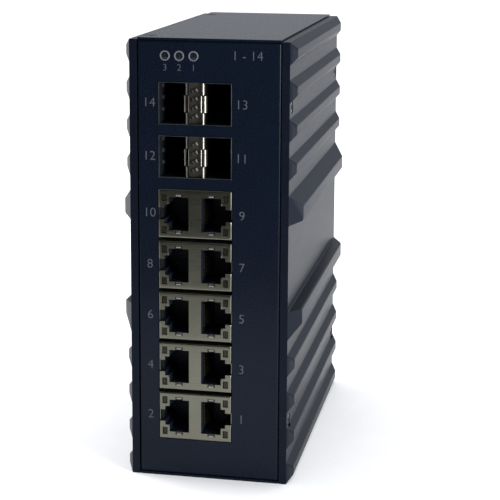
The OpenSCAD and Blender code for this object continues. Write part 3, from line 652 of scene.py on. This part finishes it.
def jack_shield(number):
    """The stamped shield of one block: rounded rim, two stepped mouths, lamp windows and walls."""
    at = middle(f"jack_shield_{number}") / MM
    bm = bmesh.new()
    xs = both_ways([BAR, LEAF_U - LEAF_SLOT, LEAF_U + LEAF_SLOT, MOUTH, *LAMP_U, KEY1]
                   + [SHIELD_W - e for e in EDGE_STEPS])
    zs = both_ways([KEY2_UP, KEY1_UP, LAMP_UP[0], MOUTH_UP, LAMP_UP[1]]
                   + [SHIELD_H - e for e in EDGE_STEPS])
    rim = SHIELD_Y + SHIELD_FACE
    wall = SHIELD_WALL
    cells(bm, xs, (SHIELD_Y, rim), zs, shield_solid, shield_bulge)
    bmesh.ops.translate(bm, verts=bm.verts, vec=Vector((at.x, 0, at.z)) * MM)
    for side in (-1, 1):
        outer = at.x + side * SHIELD_W
        inner = outer - side * wall
        block(bm, (min(outer, inner), rim, at.z - SHIELD_H),
              (max(outer, inner), SHIELD_BACK, at.z + SHIELD_H))
        outer = at.z + side * SHIELD_H
        inner = outer - side * wall
        block(bm, (at.x - SHIELD_W + wall, rim, min(outer, inner)),
              (at.x + SHIELD_W - wall, SHIELD_BACK, max(outer, inner)))
    block(bm, (at.x - SHIELD_W + wall, SHIELD_BACK - wall, at.z - SHIELD_H + wall),
          (at.x + SHIELD_W - wall, SHIELD_BACK, at.z + SHIELD_H - wall))
    piece(f"jack_block_{number}_shield", bm, nickel, [f"jack_shield_{number}"],
          edge_mm=0.13)


# The sheets that the leaves and lips, and the fingers of a cage, are formed from.
LEAF_SHEET, FINGER_SHEET = 0.12, 0.15
# A leaf rolls out of the face, over a crest and back into the mouth: (distance up, depth).
LEAF_PATH = [(LEAF_UP + 0.05, 0.1), (LEAF_UP - 0.1, 0.03), (LEAF_UP - 0.3, 0.0), (LEAF_UP - 0.55, 0.02),
             (LEAF_UP - 0.75, 0.12), (LEAF_UP - 0.9, 0.32), (LEAF_UP - 1.0, 0.65), (LEAF_UP - 1.08, 1.2),
             (LEAF_UP - 1.0, 2.4)]

# A lamp lens: its gap to the window all round, and the depths of its face and its back.
LENS_GAP, LENS_Y, LENS_BACK = 0.05, SHIELD_Y + 0.28, 3.9

leaves = bmesh.new()
port_lenses = bmesh.new()
for number in range(1, JACKS + 1):
    jack_shield(number)
    at = middle(f"jack_shield_{number}") / MM
    for side in (-1, 1):
        for way in (-1, 1):
            strip(leaves, LEAF_PATH, 2 * LEAF_HALF, (at.x + side * LEAF_U, SHIELD_Y, at.z), (1, 0, 0),
                  out=(0, 0, way))
            u0, u1 = sorted(at.x + side * u for u in LAMP_U)
            z0, z1 = sorted(at.z + way * z for z in LAMP_UP)
            block(port_lenses, (u0 + LENS_GAP, LENS_Y, z0 + LENS_GAP),
                  (u1 - LENS_GAP, LENS_BACK, z1 - LENS_GAP))
piece("jack_grounding_leaves", leaves, leaf_metal, sheet_mm=LEAF_SHEET,
      crease=LEAF_SHARP)
piece("port_lamp_lenses", port_lenses, smoked_lens, ["port_light_pipes"],
      edge_mm=0.25, steps=3)

# Fibre cages ------------------------------------------------------------------

cage_low, cage_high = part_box(LOWER)
CAGE_W = (cage_high.x - cage_low.x) / MM / 2
CAGE_H = (cage_high.z - cage_low.z) / MM / 2
CAGE_Y = (cage_low.y - FRONT) / MM
CAGE_BACK = (cage_high.y - FRONT) / MM
CAGE_LIP = 0.27
CAGE_WALL = 0.3
RIM_DEEP = 0.5
DIVIDER, DIVIDER_Y = 2.35, 0.6
# Lips of the divider: where they start in depth, then (distance out, radius, depth, middle, height).
LIP_Y, LIP_LEAN = -0.12, 0.05
LIPS = [(2.5, 0.8, 2.4, 5.05, 4.05), (2.5, 0.8, 2.4, -5.2, 3.9), (3.0, 0.95, 2.6, -0.1, 5.7),
        (1.95, 0.5, 1.2, -0.1, 5.7)]
# Fingers on the divider, which lean, and in the outer walls: (distance along, depth or height).
ARCH = [(-1.5, 0.75), (-1.1, 0.35), (-0.6, 0.05), (0, -0.08), (0.6, 0.05), (1.0, 0.35), (1.25, 0.7)]
ARCHES, ARCH_W, ARCH_STEP, ARCH_Y = 4, 1.1, 2.95, 0.15
ARCH_X, ARCH_ACROSS, ARCH_OUT = -0.1, (-0.45, 0, 0.9), (0.9, 0, 0.35)
BUMP = [(-1.3, 0), (-0.6, 0.55), (0, 0.75), (0.5, 0.6), (0.9, 0.2)]
BUMPS, BUMP_W, BUMP_STEP, BUMP_Y, BUMP_TOP = 3, 1.2, 4.1, 5.6, 5.5
BAR_Y, BAR_SHORT = (0.85, 1.25), 0.4


def curl(start, radius, length, steps=7):
    """The path of a lip that leaves the front at start and curls back through a quarter turn."""
    path = [(start + radius * math.sin(math.radians(90 * k / steps)),
             radius * (1 - math.cos(math.radians(90 * k / steps)))) for k in range(steps + 1)]
    return path + [(start + radius - LIP_LEAN, length)]


def cage(node, fingers_node, tag):
    """One fibre cage: rim, walls, curled divider lips, grounding fingers and a sprung centre strip."""
    at = middle(node) / MM
    shell = bmesh.new()
    xs = both_ways([CAGE_W, CAGE_W - CAGE_LIP])
    zs = both_ways([CAGE_H, CAGE_H - CAGE_LIP])
    start = CAGE_Y + RIM_DEEP
    cells(shell, xs, (CAGE_Y, start), zs,
          lambda u, z: abs(u) > CAGE_W - CAGE_LIP or abs(z) > CAGE_H - CAGE_LIP)
    bmesh.ops.translate(shell, verts=shell.verts, vec=Vector((at.x, 0, at.z)) * MM)
    piece(f"fibre_cage_rim_{tag}", shell, cage_rim, edge_mm=0.05)

    shell = bmesh.new()
    for side in (-1, 1):
        for u0, u1, y0 in ((CAGE_W - CAGE_WALL, CAGE_W, start), (DIVIDER, DIVIDER + CAGE_WALL, DIVIDER_Y)):
            a, b = sorted((at.x + side * u0, at.x + side * u1))
            block(shell, (a, y0, at.z - CAGE_H), (b, CAGE_BACK, at.z + CAGE_H))
        a, b = sorted((at.z + side * (CAGE_H - CAGE_WALL), at.z + side * CAGE_H))
        block(shell, (at.x - CAGE_W + CAGE_WALL, start, a), (at.x + CAGE_W - CAGE_WALL, CAGE_BACK, b))
    block(shell, (at.x - CAGE_W + CAGE_WALL, CAGE_BACK - CAGE_WALL, at.z - CAGE_H + CAGE_WALL),
          (at.x + CAGE_W - CAGE_WALL, CAGE_BACK, at.z + CAGE_H - CAGE_WALL))
    # The cage walls take the near-black lining, painted shade for the inside of the slots.
    piece(f"fibre_cage_{tag}", shell, painted_shade_cage_lining, [node], edge_mm=0.06)

    lips = bmesh.new()
    for side in (-1, 1):
        for out, radius, deep, z, tall in LIPS:
            strip(lips, curl(out, radius, deep), tall, (at.x, LIP_Y, at.z + z), (0, 0, 1), out=(side, 0, 0))
    piece(f"divider_lips_{tag}", lips, leaf_metal, sheet_mm=LEAF_SHEET,
          crease=LEAF_SHARP)

    fingers = bmesh.new()
    for k in range(ARCHES):
        z = at.z + (k - (ARCHES - 1) / 2) * ARCH_STEP
        strip(fingers, ARCH, ARCH_W, (at.x + ARCH_X, ARCH_Y, z), ARCH_ACROSS, out=ARCH_OUT)
    for side in (-1, 1):
        for k in range(BUMPS):
            strip(fingers, BUMP, BUMP_W,
                  (at.x + side * (CAGE_W - CAGE_WALL), BUMP_Y, at.z + BUMP_TOP - BUMP_STEP * k), (0, 0, 1),
                  deep=(-side, 0, 0), out=(0, 1, 0))
    piece(f"grounding_fingers_{tag}", fingers, finger_metal, [fingers_node],
          sheet_mm=FINGER_SHEET, crease=LEAF_SHARP)

    bar = bmesh.new()
    block(bar, (at.x - DIVIDER, BAR_Y[0], at.z - CAGE_H + BAR_SHORT),
          (at.x + DIVIDER, BAR_Y[1], at.z + CAGE_H - BAR_SHORT))
    piece(f"divider_bar_{tag}", bar, bar_metal, edge_mm=0.1)


cage(LOWER, "sfp_fingers_lower", "lower")
cage(UPPER, "sfp_fingers_upper", "upper")

# Printed numbers --------------------------------------------------------------

INK_MM = 0.02
# Height of a capital over the size of the font, and how far a stroke is thinned over its height.
CAPITAL, THINNING = 0.7, -0.018


def legend(target, words, x, z, height):
    """Adds printed characters to a mesh: their middle at x, z, their height in millimetres."""
    curve = bpy.data.curves.new("characters", "FONT")
    curve.body = words
    curve.size = height / CAPITAL
    curve.align_x = "CENTER"
    curve.align_y = "CENTER"
    curve.extrude = INK_MM / 2
    curve.offset = THINNING * height
    curve.resolution_u = 4
    holder = bpy.data.objects.new("characters", curve)
    scene.collection.objects.link(holder)
    bpy.context.view_layer.update()
    flat = holder.evaluated_get(bpy.context.evaluated_depsgraph_get()).to_mesh()
    flat.transform(Matrix.Translation(Vector((x * MM, FRONT - INK_MM / 2 * MM, z * MM)))
                   @ Matrix.Rotation(math.pi / 2, 4, "X") @ Matrix.Scale(MM, 4))
    target.from_mesh(flat)
    bpy.data.objects.remove(holder)


NUMBER_H, SMALL_H = 3.2, 2.3
LEFT_X, RIGHT_X, RIGHT_X2, RANGE_X = -20.8, 11.6, 11.4, 13.3
LABEL_DOWN, RANGE_UP = 4.1, 0.3
numbers = bmesh.new()
port_rows = [f"jack_shield_{n}" for n in range(1, JACKS + 1)] + [LOWER, UPPER]
for k, node in enumerate(port_rows):
    z = middle(node).z / MM
    odd = 2 * k + 1
    legend(numbers, str(odd + 1), LEFT_X, z, NUMBER_H)
    legend(numbers, str(odd), RIGHT_X if odd < 10 else RIGHT_X2, z, NUMBER_H)
for x, word in zip(LAMP_X, "321"):
    legend(numbers, word, x, LAMP_Z - LABEL_DOWN, SMALL_H)
legend(numbers, "1 - 14", RANGE_X, LAMP_Z + RANGE_UP, NUMBER_H)
piece("printed_numbers", numbers, ink_grey)

# Rail clip --------------------------------------------------------------------

for name, edge in (("din_bracket", 0.3), ("din_latch", 0.25)):
    soften(nodes[name], edge)

spring_low, spring_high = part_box("din_spring")
spring_at = (spring_low + spring_high) / 2
TURNS, WIRE_R, WIRE_SIDES, TURN_STEPS = 12, 0.175 * MM, 10, 28
COIL_R = (spring_high.x - spring_low.x) / 2 - WIRE_R
coil = bmesh.new()
loops = []
for i in range(TURNS * TURN_STEPS + 1):
    a = 2 * math.pi * i / TURN_STEPS
    z = spring_low.z + WIRE_R + (spring_high.z - spring_low.z - 2 * WIRE_R) * i / (TURNS * TURN_STEPS)
    loop = []
    for k in range(WIRE_SIDES):
        b = 2 * math.pi * k / WIRE_SIDES
        r = COIL_R + WIRE_R * math.cos(b)
        loop.append(coil.verts.new((spring_at.x + r * math.cos(a), spring_at.y + r * math.sin(a),
                                    z + WIRE_R * math.sin(b))))
    loops.append(loop)
for a, b in zip(loops, loops[1:]):
    for k in range(WIRE_SIDES):
        coil.faces.new([a[k], a[(k + 1) % WIRE_SIDES], b[(k + 1) % WIRE_SIDES], b[k]])
coil.faces.new(loops[0])
coil.faces.new(loops[-1])
spring = piece("latch_spring_coil", coil, music_wire, ["din_spring"], body=None)
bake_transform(spring)

# Floor and light --------------------------------------------------------------

FLOOR_HALF, CARD_HALF = 8, 0.5
CARD_AT = (0.05, -0.27, 0.5)


def board(name, material, half, segments=1, at=Matrix()):
    """A flat square of the studio, as wide both ways as twice half, in metres."""
    bm = bmesh.new()
    bmesh.ops.create_grid(bm, x_segments=segments, y_segments=segments, size=half, matrix=at)
    mesh = bpy.data.meshes.new(name)
    bm.to_mesh(mesh)
    bm.free()
    mesh.materials.append(material)
    made = bpy.data.objects.new(name, mesh)
    scene.collection.objects.link(made)
    return made


# Matt pale board with a barely visible tooth.
pale_board = surface("matt_pale_board", "#f1f1f1", "#f6f6f6", 0.9, [2, 2, 2], Specular_IOR_Level=0.1)
floor = board("floor", pale_board, FLOOR_HALF, segments=8)


def softbox(name, at, aim, size, power):
    """A soft rectangular white light of a size in metres and a power in watts."""
    light = bpy.data.lights.new(name, "AREA")
    light.shape = "RECTANGLE"
    light.size, light.size_y = size
    light.energy = power
    made = bpy.data.objects.new(name, light)
    made.location = at
    made.rotation_euler = (Vector(aim) - Vector(at)).to_track_quat("-Z", "Y").to_euler()
    scene.collection.objects.link(made)


softbox("overhead", at=(0.0, 1.5, 2.2), aim=(0.0, 1.1, 0.0), size=(5.0, 4.0), power=90)
softbox("right_wall", at=(0.55, -0.36, 0.15), aim=(0.0, -0.05, 0.1), size=(0.3, 0.16), power=6)
softbox("left_wall", at=(-1.2, 0.35, 0.55), aim=(-0.03, 0.05, 0.08), size=(0.7, 0.7), power=17)

# Black felt on a card in front of the object, which only reflections see: it keeps the front face
# from mirroring a bright room.
black_felt = surface("black_felt", "#101010", "#161616", 0.95, [1, 1, 1])
card = board("dark_card", black_felt, CARD_HALF,
             at=Matrix.Translation(CARD_AT) @ Matrix.Rotation(math.pi / 2, 4, "X"))
card.visible_camera = False
card.visible_diffuse = False
card.visible_shadow = False

world = bpy.data.worlds.new("studio")
scene.world = world
world.use_nodes = True
world.node_tree.nodes.clear()
shine = add(world.node_tree, "Background", {"Color": linear("#f2f7ff"), "Strength": 0.56})
add(world.node_tree, "OutputWorld", links={"Surface": shine.outputs["Background"]})
